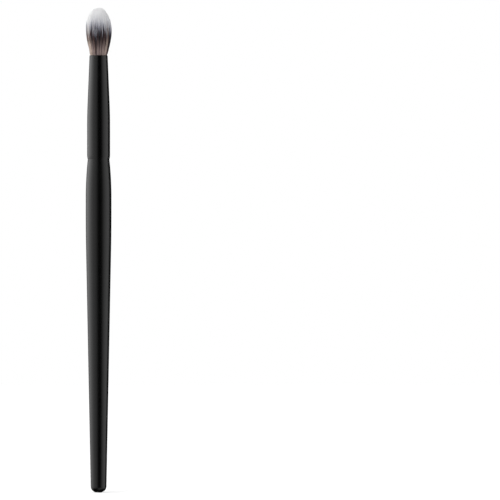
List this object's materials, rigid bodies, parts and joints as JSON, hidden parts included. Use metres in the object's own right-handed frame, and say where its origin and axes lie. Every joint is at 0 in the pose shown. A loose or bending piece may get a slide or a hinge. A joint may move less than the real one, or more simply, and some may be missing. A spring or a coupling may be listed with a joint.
{
  "type": "eyeshadow brush",
  "caption": "Slim eyeshadow brush: black tapered handle, black metal ferrule and a soft flame-shaped hair tuft.",
  "frame": {"origin": "centre of the rounded butt end of the handle", "axes": "+Z along the brush from the butt end to the tip of the tuft; the brush is turned, so X and Y are alike"},
  "size_m": [0.0094, 0.0094, 0.178],
  "materials": {
    "handle_lacquered_wood": "gloss",
    "ferrule_lacquered_aluminium": "gloss",
    "tuft_hair": "matte",
    "tie_thread": "matte",
    "cast_resin": "gloss",
    "clear_adhesive": "satin"
  },
  "bodies": {
    "root": {"handle": "handle_lacquered_wood", "ferrule": "ferrule_lacquered_aluminium", "bristle_tuft": "tuft_hair", "tuft_binding": "tie_thread", "resin_plug": "cast_resin", "tenon_adhesive": "clear_adhesive"}
  },
  "joints": []
}
